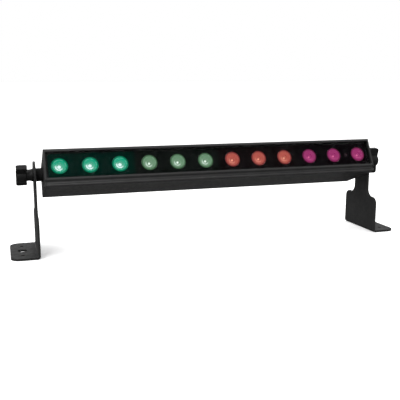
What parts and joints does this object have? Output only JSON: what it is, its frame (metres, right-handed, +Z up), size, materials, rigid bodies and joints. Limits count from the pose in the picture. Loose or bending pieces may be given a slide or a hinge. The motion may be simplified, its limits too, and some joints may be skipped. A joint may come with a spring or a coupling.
{
  "type": "led strip batten",
  "caption": "Linear stage light: a slim black bar with a row of coloured lenses, tilting between two bent-sheet floor brackets held by wing knobs.",
  "frame": {"origin": "on the floor, under the middle of the resting object's bounding box", "axes": "+X along the bar to the right seen from the lens side, +Y away from the lens side, +Z up"},
  "size_m": [0.596, 0.1002, 0.149],
  "materials": {
    "housing_paint": "fine-textured black powder coat on aluminium extrusion",
    "cap_paint": "black powder coat on cast end caps",
    "panel_paint": "fine-textured black powder coat on steel sheet",
    "bracket_paint": "fine-textured black powder coat on bent steel sheet",
    "screw_steel": "black zinc-plated screws",
    "stud_steel": "zinc-plated steel",
    "brass_insert": "turned brass",
    "knob_plastic": "black moulded nylon, satin",
    "spacer_rubber": "black rubber",
    "window_clear": "clear anti-glare pane",
    "mask_black": "matt black sheet",
    "lens_green": "clear faceted optic lit teal green",
    "lens_lime": "clear faceted optic lit pale green",
    "lens_red": "clear faceted optic lit warm red",
    "lens_magenta": "clear faceted optic lit magenta",
    "board_white": "white solder mask on aluminium board",
    "emitter_yellow": "light-emitting chips under silicone",
    "sensor_dark": "dark infrared window",
    "board_green": "green circuit board",
    "component_dark": "moulded electronic parts",
    "display_tint": "dark tinted display cover",
    "socket_plastic": "black moulded polyamide",
    "latch_metal": "nickel-plated latch tab",
    "button_rubber": "dark grey keypad rubber",
    "fuse_glass": "glass tube with metal ends"
  },
  "bodies": {
    "left_bracket": {"left_bracket": "bracket_paint"},
    "bar": {"control_board": "board_green", "display": "component_dark", "display_window": "display_tint", "dmx_in_pins": "brass_insert", "dmx_in_socket": "socket_plastic", "dmx_out_socket": "socket_plastic", "driver_board": "board_green", "driver_parts": "component_dark", "front_window": "window_clear", "fuse_holder": "socket_plastic", "housing": "housing_paint", "inlet_blades": "brass_insert", "ir_receiver": "sensor_dark", "key_switches": "component_dark", "led_board": "board_white", "led_board_screws": "screw_steel", "led_emitters": "emitter_yellow", "left_cap_screws": "screw_steel", "left_end_cap": "cap_paint", "left_insert": "brass_insert", "left_spacer": "spacer_rubber", "lens_01": "lens_green", "lens_02": "lens_green", "lens_03": "lens_green", "lens_04": "lens_lime", "lens_05": "lens_lime", "lens_06": "lens_lime", "lens_07": "lens_red", "lens_08": "lens_red", "lens_09": "lens_red", "lens_10": "lens_magenta", "lens_11": "lens_magenta", "lens_12": "lens_magenta", "lens_holders": "mask_black", "lens_mask": "mask_black", "power_inlet": "socket_plastic", "power_outlet": "socket_plastic", "rear_panel": "panel_paint", "rear_panel_screws": "screw_steel", "right_cap_screws": "screw_steel", "right_end_cap": "cap_paint", "right_insert": "brass_insert", "right_spacer": "spacer_rubber", "socket_screws": "screw_steel", "window_seal": "spacer_rubber"},
    "right_bracket": {"right_bracket": "bracket_paint"},
    "left_knob_carrier": {"left_washer": "stud_steel"},
    "left_knob": {"left_knob": "knob_plastic", "left_stud": "stud_steel"},
    "right_knob_carrier": {"right_washer": "stud_steel"},
    "right_knob": {"right_knob": "knob_plastic", "right_stud": "stud_steel"},
    "button_1": {"button_1": "button_rubber"},
    "button_2": {"button_2": "button_rubber"},
    "button_3": {"button_3": "button_rubber"},
    "button_4": {"button_4": "button_rubber"},
    "latch_tab": {"dmx_latch_tab": "latch_metal"},
    "fuse_cap": {"fuse_cap": "socket_plastic", "fuse": "fuse_glass"}
  },
  "joints": [
    {"name": "bar_tilt", "type": "hinge", "parent": "left_bracket", "child": "bar", "pos_m": [0, 0.0014, 0.1105], "axis": [1, 0, 0], "range_deg": [-62, 118]},
    {"name": "right_bracket_tilt", "type": "hinge", "parent": "bar", "child": "right_bracket", "pos_m": [0, 0.0014, 0.1105], "axis": [1, 0, 0], "range_deg": [-118, 62]},
    {"name": "left_knob_travel", "type": "slide", "parent": "bar", "child": "left_knob_carrier", "axis": [-1, 0, 0], "range_m": [0, 0.00219]},
    {"name": "left_knob_turn", "type": "hinge", "parent": "left_knob_carrier", "child": "left_knob", "pos_m": [0, 0.0014, 0.1105], "axis": [-1, 0, 0], "range_deg": [0, 631]},
    {"name": "right_knob_travel", "type": "slide", "parent": "bar", "child": "right_knob_carrier", "axis": [1, 0, 0], "range_m": [0, 0.00219]},
    {"name": "right_knob_turn", "type": "hinge", "parent": "right_knob_carrier", "child": "right_knob", "pos_m": [0, 0.0014, 0.1105], "axis": [1, 0, 0], "range_deg": [0, 631]},
    {"name": "button_1_press", "type": "slide", "parent": "bar", "child": "button_1", "axis": [0, -0.8829, 0.4695], "range_m": [0, 0.0008], "stiffness_N_per_m": 900, "springref_m": -0.0005},
    {"name": "button_2_press", "type": "slide", "parent": "bar", "child": "button_2", "axis": [0, -0.8829, 0.4695], "range_m": [0, 0.0008], "stiffness_N_per_m": 900, "springref_m": -0.0005},
    {"name": "button_3_press", "type": "slide", "parent": "bar", "child": "button_3", "axis": [0, -0.8829, 0.4695], "range_m": [0, 0.0008], "stiffness_N_per_m": 900, "springref_m": -0.0005},
    {"name": "button_4_press", "type": "slide", "parent": "bar", "child": "button_4", "axis": [0, -0.8829, 0.4695], "range_m": [0, 0.0008], "stiffness_N_per_m": 900, "springref_m": -0.0005},
    {"name": "latch_press", "type": "slide", "parent": "bar", "child": "latch_tab", "axis": [0, -0.8829, 0.4695], "range_m": [0, 0.0015], "stiffness_N_per_m": 900, "springref_m": -0.0005},
    {"name": "fuse_cap_turn", "type": "hinge", "parent": "bar", "child": "fuse_cap", "pos_m": [-0.108, 0.04202, 0.0889], "axis": [0, 0.8829, -0.4695], "range_deg": [0, 90]}
  ],
  "couplings": [
    {"joint": "right_bracket_tilt", "follows": "bar_tilt", "ratio": -1},
    {"joint": "left_knob_turn", "follows": "left_knob_travel", "rad_per_m": 5026.5},
    {"joint": "right_knob_turn", "follows": "right_knob_travel", "rad_per_m": 5026.5}
  ]
}
